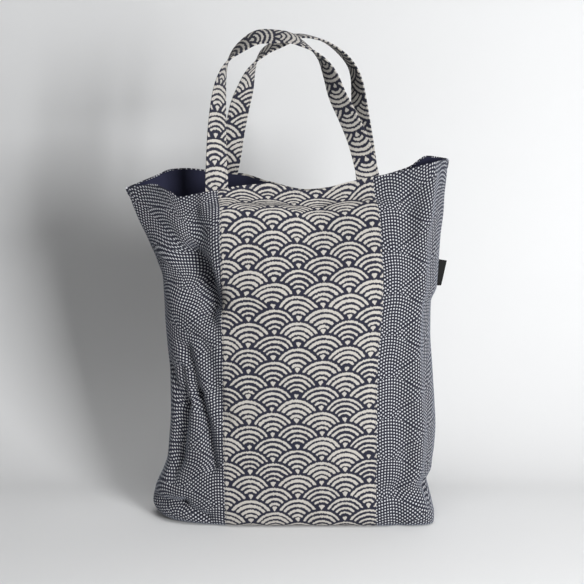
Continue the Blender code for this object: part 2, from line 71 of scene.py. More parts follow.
# One row for each level: shares of the width, of the depth, and of the middle cloth
sectionNames = ("level", "left", "right", "middle", "front", "back", "panel", "square", "mouth")
sections = np.array((
    (0.000, -0.372, 0.463, 0.042, 0.385, 0.385, 0.962, 3.2, 0.00),
    (0.008, -0.398, 0.464, 0.042, 0.425, 0.425, 0.962, 3.2, 0.00),
    (0.026, -0.421, 0.464, 0.041, 0.452, 0.452, 0.962, 3.1, 0.00),
    (0.050, -0.432, 0.459, 0.040, 0.462, 0.465, 0.961, 3.0, 0.00),
    (0.085, -0.426, 0.451, 0.040, 0.467, 0.472, 0.961, 2.9, 0.00),
    (0.110, -0.416, 0.445, 0.040, 0.470, 0.478, 0.961, 2.9, 0.00),
    (0.140, -0.401, 0.460, 0.039, 0.473, 0.483, 0.961, 2.9, 0.00),
    (0.190, -0.383, 0.466, 0.039, 0.478, 0.490, 0.962, 2.8, 0.00),
    (0.255, -0.376, 0.470, 0.038, 0.484, 0.498, 0.965, 2.8, 0.00),
    (0.340, -0.370, 0.465, 0.038, 0.487, 0.505, 0.965, 2.7, 0.00),
    (0.445, -0.370, 0.455, 0.038, 0.488, 0.512, 0.963, 2.7, 0.00),
    (0.540, -0.378, 0.448, 0.041, 0.485, 0.510, 0.975, 2.6, 0.00),
    (0.615, -0.383, 0.448, 0.043, 0.478, 0.505, 0.992, 2.6, 0.00),
    (0.655, -0.385, 0.465, 0.044, 0.474, 0.500, 1.000, 2.5, 0.02),
    (0.735, -0.389, 0.471, 0.044, 0.468, 0.490, 1.000, 2.5, 0.08),
    (0.795, -0.411, 0.476, 0.042, 0.462, 0.480, 0.993, 2.4, 0.22),
    (0.855, -0.436, 0.485, 0.040, 0.455, 0.470, 0.991, 2.3, 0.45),
    (0.905, -0.461, 0.489, 0.037, 0.445, 0.460, 0.982, 2.3, 0.68),
    (0.950, -0.480, 0.496, 0.030, 0.430, 0.450, 0.962, 2.2, 0.88),
    (1.000, -0.498, 0.500, 0.026, 0.430, 0.450, 0.957, 2.2, 1.00)))
mouthNames = ("place", "front", "frontHeight", "back", "backHeight")
mouth = np.array((
    (0.000, -0.03, 0.918, -0.03, 0.918),
    (0.045, -0.12, 0.925, 0.13, 0.933),
    (0.090, -0.24, 0.930, 0.26, 0.948),
    (0.130, -0.35, 0.919, 0.36, 0.962),
    (0.170, -0.42, 0.899, 0.44, 0.964),
    (0.230, -0.46, 0.910, 0.53, 0.959),
    (0.290, -0.44, 0.918, 0.51, 0.954),
    (0.360, -0.33, 0.928, 0.45, 0.949),
    (0.440, -0.22, 0.932, 0.26, 0.932),
    (0.560, -0.10, 0.911, 0.12, 0.912),
    (0.700, -0.09, 0.937, 0.12, 0.930),
    (0.870, -0.15, 0.969, 0.14, 0.970),
    (0.935, -0.15, 0.985, 0.28, 1.000),
    (1.000, 0.19, 0.993, 0.19, 0.993)))

# Folds and dents: place and level of both ends, half width, depth
folds = dict(front=(
    (0.120, 0.790, 0.190, 0.690, 0.130, -0.110),    # deep dimple in the left shoulder
    (0.010, 0.735, 0.110, 0.750, 0.075, -0.050),    # crease from the left edge to it
    (0.060, 0.830, 0.230, 0.860, 0.140, 0.020),
    (0.060, 0.660, 0.150, 0.600, 0.110, 0.030),
    (0.045, 0.470, 0.060, 0.360, 0.060, -0.055),    # long folds of the left panel
    (0.060, 0.360, 0.045, 0.170, 0.060, -0.055),
    (0.080, 0.530, 0.110, 0.400, 0.065, -0.060),
    (0.110, 0.400, 0.180, 0.190, 0.065, -0.060),
    (0.150, 0.560, 0.210, 0.330, 0.080, -0.035),
    (0.010, 0.060, 0.110, 0.064, 0.050, -0.045),    # tuck over the left bottom corner
    (0.110, 0.064, 0.190, 0.026, 0.050, -0.045),
    (0.300, 0.945, 0.600, 0.945, 0.070, -0.030),    # the hem's lower edge gives way
    (0.890, 0.200, 0.860, 0.020, 0.090, -0.030),
    (0.930, 0.880, 0.925, 0.120, 0.090, 0.022),     # edge where the right side turns
), back=(
    (0.120, 0.760, 0.260, 0.700, 0.130, -0.060),
    (0.850, 0.820, 0.700, 0.740, 0.130, -0.045),
    (0.090, 0.500, 0.140, 0.200, 0.075, -0.045),
    (0.900, 0.450, 0.840, 0.170, 0.075, -0.045),
    (0.300, 0.945, 0.620, 0.945, 0.070, -0.025),
))


# Sharper creases in the cloth, in millimetres of cloth from the left side seam and from the
# bottom seam: both ends, half widths (right of a line drawn down or above a line drawn to the
# right, then its other side), and how far the cloth stands out
creases = dict(front=(
    (84, 408, 80, 374, 11, 34, -11),  # deep dimple beside the left seam
    (80, 374, 85, 346, 10, 38, -18),
    (85, 346, 95, 314, 9, 30, -13),
    (4, 336, 30, 344, 9, 4, -4),  # edge of the fold from the left side to it
    (30, 344, 58, 352, 10, 6, -3),
    (21, 215, 35, 190, 11, 5, -5),  # long fold next to the left side
    (35, 190, 36, 162, 14, 5, -8),
    (36, 162, 31, 122, 14, 5, -8),
    (31, 122, 36, 98, 11, 5, -5),
    (46, 266, 57, 243, 7, 6, -3.5),  # long fold between it and the seam
    (57, 243, 62, 208, 7, 6, -4),
    (62, 208, 77, 194, 8, 6, -5),
    (77, 194, 86, 153, 8, 6, -6),
    (86, 153, 91, 118, 7, 6, -4.5),
    (12, 52, 40, 66, 13, 5, -4),  # tuck over the left bottom corner
    (40, 66, 58, 66, 13, 5, -4.5),
    (58, 66, 88, 54, 13, 5, -4),
    (10, 58, 30, 84, 9, 9, 3),
    (60, 424, 106, 427, 5, 18, 3.5),  # the cloth stands out below the hem
    (106, 427, 190, 427, 4, 24, 9.5),
    (190, 427, 286, 431, 4, 20, 6),
    (112, 438, 190, 439, 12, 4, -3.5),
    (335, 448, 328, 400, 12, 12, -3.5),
    (366, 444, 350, 385, 7, 16, 4),  # edge where the right side turns
    (350, 385, 348, 210, 7, 16, 3.6),
    (348, 210, 352, 70, 7, 16, 3.6),
    (318, 240, 330, 140, 9, 12, -2),
    (388, 88, 360, 74, 8, 5, -3.5),  # pinched right bottom corner
), back=(
    (90, 380, 84, 330, 9, 18, -6),
    (310, 392, 322, 348, 18, 9, -5),
    (40, 230, 52, 130, 11, 6, -4.5),
    (350, 210, 338, 110, 6, 11, -4.5),
    (120, 428, 250, 427, 5, 20, 5),
))


def smooth(places, values, at):
    # A curve through the values without overshoot between them
    at = np.clip(np.asarray(at, dtype=float), places[0], places[-1])
    widths = np.diff(places)
    rises = np.diff(values) / widths
    slopes = np.zeros(len(values))
    slopes[0], slopes[-1] = rises[0], rises[-1]
    same = rises[:-1] * rises[1:] > 0
    total = np.where(same, rises[:-1] + rises[1:], 1)
    slopes[1:-1] = np.where(same, 2 * rises[:-1] * rises[1:] / total, 0)
    span = np.clip(np.searchsorted(places, at) - 1, 0, len(widths) - 1)
    s = (at - places[span]) / widths[span]
    value = values[span] * (1 + 2 * s) * (1 - s) ** 2 + values[span + 1] * s ** 2 * (3 - 2 * s)
    return value + widths[span] * (slopes[span] * s * (1 - s) ** 2 - slopes[span + 1] * s ** 2 * (1 - s))


def unit(vectors):
    return vectors / (np.linalg.norm(vectors, axis=-1, keepdims=True) + 1e-15)


def lengthAlong(points):
    # The length from the first point, or row of points, to each one
    steps = np.linalg.norm(np.diff(points, axis=0), axis=-1)
    return np.concatenate([np.zeros_like(steps[:1]), np.cumsum(steps, axis=0)])


def lineAway(awayX, awayY, runX, runY):
    # How far points are from a line, given their way from its start and the line's run
    share = np.clip((awayX * runX + awayY * runY) / (runX ** 2 + runY ** 2), 0, 1)
    return np.hypot(awayX - share * runX, awayY - share * runY)


def softNoise(x, y, seed):
    # Repeatable value noise from -1 to 1 with smooth steps
    def corner(i, j):
        value = np.sin(i * 127.1 + j * 311.7 + seed * 74.7) * 43758.5453
        return value - np.floor(value)
    i, j = np.floor(x), np.floor(y)
    s, t = x - i, y - j
    s, t = s ** 3 * (s * (s * 6 - 15) + 10), t ** 3 * (t * (t * 6 - 15) + 10)
    low = corner(i, j) * (1 - s) + corner(i + 1, j) * s
    high = corner(i, j + 1) * (1 - s) + corner(i + 1, j + 1) * s
    return (low * (1 - t) + high * t) * 2 - 1


def foldDepth(side, place, level):
    total = np.zeros_like(place)
    for placeA, levelA, placeB, levelB, half, depth in folds[side]:
        runX, runZ = (placeB - placeA) * body["width"], (levelB - levelA) * body["height"]
        awayX, awayZ = (place - placeA) * body["width"], (level - levelA) * body["height"]
        away = lineAway(awayX, awayZ, runX, runZ)
        total += depth * body["depth"] * np.exp(-(away / (half * body["depth"])) ** 2)
    return total


def clothColumns():
    # Places on the flat cloth, closer together beside each seam
    beside = np.array([0.0, 0.5, 1.1, 1.9, 3.0]) * mm
    places = []
    for start, end in ((0, sideCloth), (sideCloth, body["faceCloth"] - sideCloth),
                       (body["faceCloth"] - sideCloth, body["faceCloth"])):
        inner = np.arange(start + beside[-1] + body["columnStep"],
                          end - beside[-1] - body["columnStep"] / 2, body["columnStep"])
        places += [start + beside, inner, (end - beside)[::-1]]
    return np.unique(np.round(np.concatenate(places), 7))


columnsAt = clothColumns()
seamPlaces = np.array((0.0, sideCloth, body["faceCloth"] - sideCloth, body["faceCloth"]))
seamIndex = [int(np.argmin(np.abs(columnsAt - place))) for place in seamPlaces]


def sectionLine(side, level):
    # One level of a face, from the left to the right side seam, set out on the cloth's columns
    values = {name: float(smooth(sections[:, 0], sections[:, k], level))
              for k, name in enumerate(sectionNames)}
    sign = faceSign[side]
    left, right = values["left"] * body["width"], values["right"] * body["width"]
    turn = np.linspace(0, math.pi, 1200)
    power = np.full_like(turn, 2 / values["square"])
    sharper = body["cornerSquare"] * max(0.0, 1 - level / body["cornerRise"])
    power[turn > math.pi / 2] = 2 / (values["square"] + sharper)
    across = np.cos(turn)
    x = (left + right) / 2 - (right - left) / 2 * np.sign(across) * np.abs(across) ** power
    place = (x - left) / (right - left)
    yBody = sign * values[side] * body["depth"] * np.sin(turn) ** power
    yMouth = smooth(mouth[:, 0], mouth[:, mouthNames.index(side)], place) * body["mouthDepth"]
    y = yBody * (1 - values["mouth"]) + yMouth * values["mouth"]
    z = smooth(mouth[:, 0], mouth[:, mouthNames.index(side + "Height")], place) * body["height"] * level
    runX, runY = np.gradient(x), np.gradient(y)
    run = np.hypot(runX, runY) + 1e-12
    dent = foldDepth(side, place, np.full_like(place, level))
    dent *= np.clip(np.minimum(place, 1 - place) / 0.02, 0, 1)
    x = x - runY / run * sign * dent
    y = y + runX / run * sign * dent
    length = lengthAlong(np.stack([x, y], axis=1))
    half = values["panel"] * body["middleCloth"] / 2
    knots = [0, 0, 0, length[-1]]
    for k, seamX in ((1, values["middle"] * body["width"] - half),
                     (2, values["middle"] * body["width"] + half)):
        knots[k] = np.interp(seamX, x[100:-100], length[100:-100])
    at = np.interp(columnsAt, seamPlaces, knots)
    return np.stack([np.interp(at, length, line) for line in (x, y, z)], axis=1)


def bagRing():
    # The whole outer surface as rows of one closed ring: front left to right, then back
    count = int(round(body["height"] / body["rowStep"]))
    levels = np.concatenate([[0, 0.002, 0.004, 0.006, 0.009, 0.012, 0.016, 0.020],
                             np.linspace(0.025, 1, count)])
    faces = {side: np.array([sectionLine(side, level) for level in levels])
             for side in faceSign}
    seamX = (faces["front"][0, :, 0] + faces["back"][0, :, 0]) / 2
    centre = (seamX[0] + seamX[-1]) / 2
    seamLine = np.zeros((len(seamX), 3))
    seamLine[:, 0] = centre + (seamX - centre) * body["bottomShare"]
    steps = np.linspace(0, 1, body["baseRows"] + 1)[:-1, None, None]
    for side in faceSign:
        base = seamLine[None] * (1 - steps) + faces[side][0][None] * steps
        faces[side] = np.concatenate([base, faces[side]])
    for end in (0, -1):
        shared = (faces["front"][:, end] + faces["back"][:, end]) / 2
        faces["front"][:, end] = faces["back"][:, end] = shared
    return np.concatenate([faces["front"], faces["back"][:, -2:0:-1]], axis=1)


def ringWays(points):
    # The way out at each point, longer in a corner so that a layer keeps its thickness
    along = np.roll(points, -1, axis=1) - np.roll(points, 1, axis=1)
    up = np.gradient(points, axis=0)
    normals = unit(np.cross(along, up))
    normals[:body["baseRows"]] = (0, 0, -1)
    ahead = unit(np.cross(np.roll(points, -1, axis=1) - points, up))
    above = unit(np.cross(along, np.roll(points, -1, axis=0) - points))
    above[-1] = normals[-1]
    lean = np.minimum((normals * ahead).sum(axis=2), (normals * above).sum(axis=2))
    lean[:body["baseRows"]] = 1
    return normals / np.clip(lean, 0.5, 1)[..., None]


ring = bagRing()
columnCount = len(columnsAt)
shift = np.array([cadBox[0][0] - ring[:, :, 0].min(), cadBox[0][1] - ring[:, :, 1].min(), 0])
ring = ring + shift


def faceColumns(side):
    # The ring's columns of a face, in the order of the flat cloth
    if side == "front":
        return np.arange(columnCount)
    return np.concatenate([[0], np.arange(ring.shape[1] - 1, columnCount - 1, -1), [columnCount - 1]])


ringCloth = np.zeros(ring.shape[1])
ringSide = np.ones(ring.shape[1])
ringCloth[faceColumns("back")] = columnsAt
ringCloth[faceColumns("front")] = columnsAt
ringSide[faceColumns("front")] = faceSign["front"]
heights = lengthAlong(ring)


def blurred(values, passes, axis):
    # Evens out a grid along one axis; a closed ring runs round on axis 1
    for _ in range(passes):
        if axis == 1:
            values = (np.roll(values, 1, axis=1) + 2 * values + np.roll(values, -1, axis=1)) / 4
        else:
            padded = np.concatenate([values[:1], values, values[-1:]])
            values = (padded[:-2] + 2 * values + padded[2:]) / 4
    return values


def creaseDepth():
    # How far each point of the ring stands out at the creases, in metres
    across = np.tile(ringCloth, (ring.shape[0], 1)) / mm
    up = heights / mm
    low, high = np.zeros_like(across), np.zeros_like(across)
    for side, rows in creases.items():
        for acrossA, upA, acrossB, upB, halfOne, halfTwo, depth in rows:
            runX, runY = acrossB - acrossA, upB - upA
            awayX, awayY = across - acrossA, up - upA
            turned = (runX * awayY - runY * awayX) / math.hypot(runX, runY)
            half = halfTwo + (halfOne - halfTwo) * (0.5 + 0.5 * np.tanh(turned / 1.5))
            stand = depth * np.exp(-(lineAway(awayX, awayY, runX, runY) / half) ** 2)
            stand *= ringSide == faceSign[side]
            low, high = np.minimum(low, stand), np.maximum(high, stand)
    fade = np.clip(np.minimum(across, body["faceCloth"] / mm - across) / 12, 0, 1)
    return blurred(blurred((low + high) * fade * mm, 2, 0), 2, 1)


# Slack over the whole cloth: depth in millimetres, spacing across and up, shift between the
# faces and seed; then the small puckers along the seams of the middle panels
slackness = ((0.60, 0.034, 0.060, 7, 1.0), (0.32, 0.015, 0.022, 5, 2.0))
puckers = dict(depth=0.30, spacing=0.008, reach=0.007, seed=5.0)


def wrinkles():
    # How far the slack and the puckers stand out, less the groove of each seam, in metres
    across = np.tile(ringCloth, (ring.shape[0], 1))
    side = np.tile(ringSide, (ring.shape[0], 1))
    edgeFade = np.clip(np.minimum(across, body["faceCloth"] - across) / 0.02, 0, 1)
    slack, pucker = np.zeros_like(across), np.zeros_like(across)
    for depth, wide, tall, apart, seed in slackness:
        slack += depth * mm * softNoise(across / wide + side * apart, heights / tall, seed)
    for place in seamPlaces[1:3]:
        ripple = softNoise(heights / puckers["spacing"] + place * 50, side * 3, puckers["seed"])
        pucker += puckers["depth"] * mm * ripple * np.exp(-((across - place) / puckers["reach"]) ** 2)
    seamAway = np.abs(across[..., None] - seamPlaces).min(axis=2)
    sink = body["seamSink"] * np.exp(-(seamAway / body["seamReach"]) ** 2)
    return ((slack + pucker) * edgeFade - sink) * np.clip((ring[:, :, 2] - 0.002) / 0.012, 0, 1)


plainRing = ring
plainWays = ringWays(ring)
bottomFade = np.clip((ring[:, :, 2] - 0.001) / 0.010, 0, 1)
creased = creaseDepth() * bottomFade
standing = creased + wrinkles()
creaseWays = unit(blurred(blurred(plainWays, 50, 0), 50, 1))
creasedRing = plainRing + creaseWays * creased[..., None]
ring = creasedRing + plainWays * (standing - creased)[..., None]
ways = ringWays(ring)

# The cloth's own measure, taken over the creases and evened out, with what the hem's ledge
# takes up across the middle of the front
hem = dict(take=0.022, middle=0.175, half=0.060, fade=0.040, low=0.414, high=0.448)
clothHeights = blurred(lengthAlong(creasedRing), 60, 1)
hemShare = np.exp(-(np.maximum(np.abs(ringCloth - hem["middle"]) - hem["half"], 0) / hem["fade"]) ** 2)
hemRise = smooth(np.array((0, hem["low"], hem["high"], 1)), np.array((0, 0, 1.0, 1.0)), heights)
clothHeights += hem["take"] * hemShare * (ringSide < 0) * hemRise
clothSteps = blurred(np.linalg.norm(np.roll(creasedRing, -1, axis=1) - creasedRing, axis=2), 80, 0)

# Where the lining may lie: behind the deepest cloth near each point
liningStand = standing.copy()
for _ in range(3):
    liningStand = np.minimum(liningStand, np.minimum(np.roll(liningStand, 1, axis=1),
                                                     np.roll(liningStand, -1, axis=1)))
    liningStand[1:-1] = np.minimum(liningStand[1:-1], np.minimum(liningStand[:-2], liningStand[2:]))
liningStand = blurred(blurred(liningStand, 4, 1), 4, 0)
print("net", ring.shape)


def addObject(name, data):
    made = bpy.data.objects.new(name, data)
    bpy.context.collection.objects.link(made)
    return made


def makeMesh(name, points, faces, uv, sharp=50):
    # A mesh object from lists, with one place on the cloth for each point
    mesh = bpy.data.meshes.new(name)
    mesh.from_pydata(points.reshape(-1, 3).tolist(), [], faces)
    layer = mesh.uv_layers.new(name="cloth")
    corners = np.zeros(len(mesh.loops), dtype=np.int32)
    mesh.loops.foreach_get("vertex_index", corners)
    layer.data.foreach_set("uv", uv[corners].astype(np.float32).ravel())
    mesh.shade_smooth()
    mesh.set_sharp_from_angle(angle=math.radians(sharp))
    return addObject(name, mesh)


def wallMesh(name, outer, inner, uv):
    # A closed wall from two grids of points, with a rounded edge all round
    rows, columns = outer.shape[:2]
    count = rows * columns
    numbers = np.arange(count).reshape(rows, columns)
    a, b, c, d = numbers[:-1, :-1], numbers[:-1, 1:], numbers[1:, 1:], numbers[1:, :-1]
    quads = [np.stack([a, b, c, d], axis=-1).reshape(-1, 4),
             np.stack([d, c, b, a], axis=-1).reshape(-1, 4) + count]
    edge = np.concatenate([numbers[0, :-1], numbers[:-1, -1], numbers[-1, :0:-1], numbers[:0:-1, 0]])
    flat = outer.reshape(-1, 3), inner.reshape(-1, 3)
    inside = np.concatenate([numbers[1, :-1], numbers[:-1, -2], numbers[-2, :0:-1], numbers[:0:-1, 1]])
    thick = np.linalg.norm(flat[0][edge] - flat[1][edge], axis=1, keepdims=True)
    top = (np.arange(len(edge)) >= columns + rows - 2) & (np.arange(len(edge)) < 2 * columns + rows - 2)
    bulge = unit(flat[0][edge] - flat[0][inside]) * thick * 0.35 * top[:, None]
    middle = (flat[0][edge] + flat[1][edge]) / 2 + bulge
    ringNumbers = np.arange(len(edge)) + 2 * count
    ahead = np.roll(np.arange(len(edge)), -1)
    quads.append(np.stack([edge[ahead], edge, ringNumbers, ringNumbers[ahead]], axis=-1))
    quads.append(np.stack([ringNumbers[ahead], ringNumbers, edge + count, edge[ahead] + count], axis=-1))
    points = np.concatenate([flat[0], flat[1], middle])
    uvAll = np.concatenate([uv.reshape(-1, 2), uv.reshape(-1, 2), uv.reshape(-1, 2)[edge]])
    return makeMesh(name, points, np.concatenate(quads).tolist(), uvAll)


def panel(name, side, first, last):
    # One cloth panel of a face, drawn back a hair from its seams
    columns = faceColumns(side)[first:last + 1]
    skins = []
    for depth in (0, body["wall"]):
        skin = ring[:, columns] - ways[:, columns] * depth
        for edge, beside in ((0, 1), (-1, -2)):
            skin[:, edge] += unit(skin[:, beside] - skin[:, edge]) * body["seamGap"]
        skin[0, :, 1] += body["seamGap"] * faceSign[side]
        skins.append(skin)
    across = np.tile(columnsAt[first:last + 1] - columnsAt[first], (ring.shape[0], 1))
    if first == 0 or last == columnCount - 1:          # measured from the seam of the middle panel
        steps = clothSteps[:, columns[:-1] if side == "front" else columns[1:]]
        across = np.concatenate([np.zeros((ring.shape[0], 1)), np.cumsum(steps, axis=1)], axis=1)
        across -= across[:, -1:] if first == 0 else 0
    uv = np.stack([across, clothHeights[:, columns]], axis=-1)
    if side == "back":
        skins = [skin[:, ::-1] for skin in skins]
        uv = uv[:, ::-1]
    return wallMesh(name, skins[0], skins[1], uv)


# The handles' feet and cloth, and the table of each one's way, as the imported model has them
strapSize = dict(width=0.026, thick=0.0026, endThick=0.0010, tuck=0.020, rise=0.171, apart=0.030,
                 tuckGap=0.0005, tuckRows=10, backShare=0.925, stitchIn=0.0026, step=0.0020,
                 settle=0.018, evening=6)
footShift = dict(front=(0.000, -0.005), back=(0.007, -0.005))
# Along, out, height and turn of the strap, from the left foot to the right one
frontWay = np.array((
    (0.000, -1.12, 0.20, 32), (0.003, -1.00, 0.36, 40), (0.012, -0.88, 0.53, 50),
    (0.025, -0.76, 0.67, 62), (0.060, -0.66, 0.81, 84), (0.155, -0.56, 0.928, 116),
    (0.300, -0.50, 1.004, 128), (0.440, -0.50, 1.002, 120), (0.560, -0.48, 0.955, 104),
    (0.680, -0.44, 0.862, 78), (0.742, -0.40, 0.750, 54), (0.788, -0.36, 0.620, 42),
    (0.843, -0.34, 0.510, 36), (0.914, -0.30, 0.356, 28), (0.958, -0.26, 0.230, 18)))
backWay = np.array((
    (0.035, 1.00, 0.160, 20), (0.060, 0.88, 0.300, 28), (0.100, 0.74, 0.490, 32),
    (0.140, 0.64, 0.620, 46), (0.185, 0.56, 0.760, 74), (0.280, 0.50, 0.890, 110),
    (0.400, 0.50, 0.955, 114), (0.530, 0.50, 1.000, 100), (0.660, 0.50, 0.975, 92),
    (0.790, 0.46, 0.895, 82), (0.886, 0.42, 0.780, 74), (0.922, 0.38, 0.660, 62),
    (0.938, 0.34, 0.500, 48), (0.958, 0.30, 0.310, 32)))


def wallPoint(side, cloth, depth, inset):
    # A point that lies a length of cloth below the rim, and inset from the outer surface
    columns = faceColumns(side)
    at = np.interp(cloth, columnsAt, np.arange(columnCount))
    low = min(int(at), columnCount - 2)
    found = []
    for k in (low, low + 1):
        line = (ring[:, columns[k]] - ways[:, columns[k]] * inset)[::-1]
        length = lengthAlong(ring[::-1, columns[k]])
        found.append(np.array([np.interp(depth, length, line[:, n]) for n in range(3)]))
    return found[0] + (found[1] - found[0]) * (at - low)


def strapShape(count=44):
    # The strap's own section, as shares: a flat tube that dips along both stitch lines
    turn = np.linspace(0, 2 * math.pi, count, endpoint=False)
    across = np.sign(np.cos(turn)) * np.abs(np.cos(turn)) ** 0.55
    thick = np.sign(np.sin(turn)) * np.abs(np.sin(turn)) ** 0.42
    stitchAt = 1 - 2 * strapSize["stitchIn"] / strapSize["width"]
    dip = 1 - 0.20 * np.exp(-((np.abs(across) - stitchAt) / 0.07) ** 2)
    return across, thick * dip


def strapMesh(name, side, way):
    # A handle from inside the left hem, over the top and into the right hem
    across, thick = strapShape()
    size = strapSize
    tuckRings = []
    feet = (sideCloth + footShift[side][0], body["faceCloth"] - sideCloth + footShift[side][1])
    middleInset = body["wall"] + size["tuckGap"] + size["endThick"] / 2
    depths = np.linspace(size["tuck"], size["endThick"], size["tuckRows"])
    for end, foot in enumerate(feet):
        flip = 1 if end == 0 else -1
        tuckRings.append([np.array([wallPoint(side, foot + flip * a * size["width"] / 2, depth,
                                              middleInset - t * size["endThick"] / 2)
                                    for a, t in zip(across, thick)]) for depth in depths])
    start, finish = (np.mean(rings[-1], axis=0) for rings in tuckRings)
    rise = size["rise"] * (1.0 if side == "front" else size["backShare"])
    middle = np.stack([start[0] + (finish[0] - start[0]) * way[:, 0],
                       way[:, 1] * size["apart"] + shift[1], start[2] + way[:, 2] * rise], axis=1)
    stations = np.concatenate([[start], middle, [finish]])
    turns = np.concatenate([[0], way[:, 3], [0]])
    length = lengthAlong(stations)
    fine = np.linspace(0, length[-1], int(length[-1] / size["step"]))
    path = np.stack([smooth(length, stations[:, k], fine) for k in range(3)], axis=1)
    turn = np.radians(smooth(length, turns, fine))
    for _ in range(size["evening"]):     # takes the last corners out of the way
        path[1:-1] = (path[:-2] + 2 * path[1:-1] + path[2:]) / 4
        turn[1:-1] = (turn[:-2] + 2 * turn[1:-1] + turn[2:]) / 4
    tangent = unit(np.gradient(path, axis=0))
    flat = unit(np.cross(np.tile((0.0, 1.0, 0.0), (len(path), 1)), tangent))
    deep = np.cross(tangent, flat)
    wide = flat * np.cos(turn)[:, None] + deep * np.sin(turn)[:, None]
    out = -faceSign[side] * np.cross(wide, tangent)
    rings = []
    for k in range(1, len(path) - 1):
        free = (path[k] + wide[k] * (across * size["width"] / 2)[:, None]
                + out[k] * (thick * size["thick"] / 2)[:, None])
        for end in (0, 1):
            away = fine[k] if end == 0 else length[-1] - fine[k]
            share = np.clip(away / size["settle"], 0, 1)
            share = share ** 2 * (3 - 2 * share)
            held = tuckRings[end][-1] + path[k] - (start, finish)[end]
            free = held * (1 - share) + free * share
        rings.append(free)
    rings = tuckRings[0] + rings + tuckRings[1][::-1]
    points = np.array(rings)
    count = points.shape[1]
    along = lengthAlong(points.mean(axis=1))
    uv = np.stack(np.broadcast_arrays(((across + 1) / 2 * size["width"])[None], along[:, None]), axis=-1)
    numbers = np.arange(points.shape[0] * count).reshape(points.shape[:2])
    beside = np.roll(numbers, -1, axis=1)
    quads = np.stack([numbers[:-1], beside[:-1], beside[1:], numbers[1:]], axis=-1)
    faces = quads.reshape(-1, 4).tolist() + [numbers[0, ::-1].tolist(), numbers[-1].tolist()]
    made = makeMesh(name, points, faces, uv.reshape(-1, 2))
    turnOutward(made)
    stitchShare = 1 - 2 * size["stitchIn"] / size["width"]
    lines = []
    for face in (1, -1):
        for edge in (1, -1):
            k = int(np.argmin(np.abs(across - edge * stitchShare) + (np.sign(thick) != face)))
            lines.append(points[size["tuckRows"] + 1:-size["tuckRows"] - 1, k])
    return made, lines, along[-1]


def turnOutward(thing):
    made = bmesh.new()
    made.from_mesh(thing.data)
    bmesh.ops.remove_doubles(made, verts=made.verts, dist=1e-6)
    bmesh.ops.recalc_face_normals(made, faces=made.faces)
    if made.calc_volume(signed=True) < 0:
        bmesh.ops.reverse_faces(made, faces=made.faces)
    made.to_mesh(thing.data)
    made.free()


# The lining in metres, and the room that it leaves around the handles' ends: beside an end,
# how far it is drawn back, and how wide and deep that reaches
liningSize = dict(gap=0.0005, thick=0.0009, drop=0.0015, edge=0.0003, beside=0.0010, back=0.0015,
                  wide=2.2, fade=1.2, deep=1.5, deepFade=0.006)


def liningMesh():
    # The inner bag, one piece all round
    size = liningSize
    rows = np.unique(np.concatenate([np.arange(0, body["baseRows"], 3),
                                     np.arange(body["baseRows"], ring.shape[0], 2), [ring.shape[0] - 1]]))
    columns = np.arange(0, ring.shape[1], 2)
    below = heights[-1] - heights
    extra = np.zeros_like(below)
    halfFoot = strapSize["width"] / 2 + size["beside"]
    for side, sign in faceSign.items():
        for seam, shiftBy in zip(seamPlaces[1:3], footShift[side]):
            away = np.abs(ringCloth - seam - shiftBy)
            inside = np.clip((halfFoot * size["wide"] - away) / (halfFoot * size["fade"]), 0, 1)
            deep = np.clip((strapSize["tuck"] * size["deep"] - below) / size["deepFade"], 0, 1)
            extra = np.maximum(extra, size["back"] * (inside * (ringSide == sign))[None] * deep)
    skins = []
    for depth in (body["wall"] + size["gap"], body["wall"] + size["gap"] + size["thick"]):
        skin = plainRing + creaseWays * liningStand[..., None] - plainWays * (depth + extra)[..., None]
        skin = skin[np.ix_(rows, columns)]
        skin[-1] += unit(skin[-2] - skin[-1]) * size["drop"]
        skins.append(skin)
    rimEdge = (skins[0][-1] + skins[1][-1]) / 2 + unit(skins[0][-1] - skins[0][-2]) * size["edge"]
    points = np.concatenate([skins[0].reshape(-1, 3), skins[1].reshape(-1, 3), rimEdge])
    count = len(rows) * len(columns)
    numbers = np.arange(count).reshape(len(rows), len(columns))
    side = np.roll(numbers, -1, axis=1)
    quads = [np.stack([numbers[:-1], side[:-1], side[1:], numbers[1:]], axis=-1).reshape(-1, 4)]
    quads.append(quads[0][:, ::-1] + count)
    rim = np.arange(len(columns)) + 2 * count
    rimNext = np.roll(rim, -1)
    quads.append(np.stack([numbers[-1], side[-1], rimNext, rim], axis=-1))
    quads.append(np.stack([rim, rimNext, side[-1] + count, numbers[-1] + count], axis=-1))
    uv = np.stack([np.tile(ringCloth[columns], (len(rows), 1)), heights[np.ix_(rows, columns)]], axis=-1)
    uvAll = np.concatenate([uv.reshape(-1, 2), uv.reshape(-1, 2), uv[-1]])
    made = makeMesh("innerBag", points, np.concatenate(quads).tolist(), uvAll)
    turnOutward(made)
    return made


# The side tag, a tape folded back on itself and caught in the side seam
labelSize = dict(thick=0.0010, layer=0.00040, slant=0.60, gap=0.0002, bend=0.0009, droop=0.0018,
                 tape=0.03, rows=26, straight=10, turn=11)


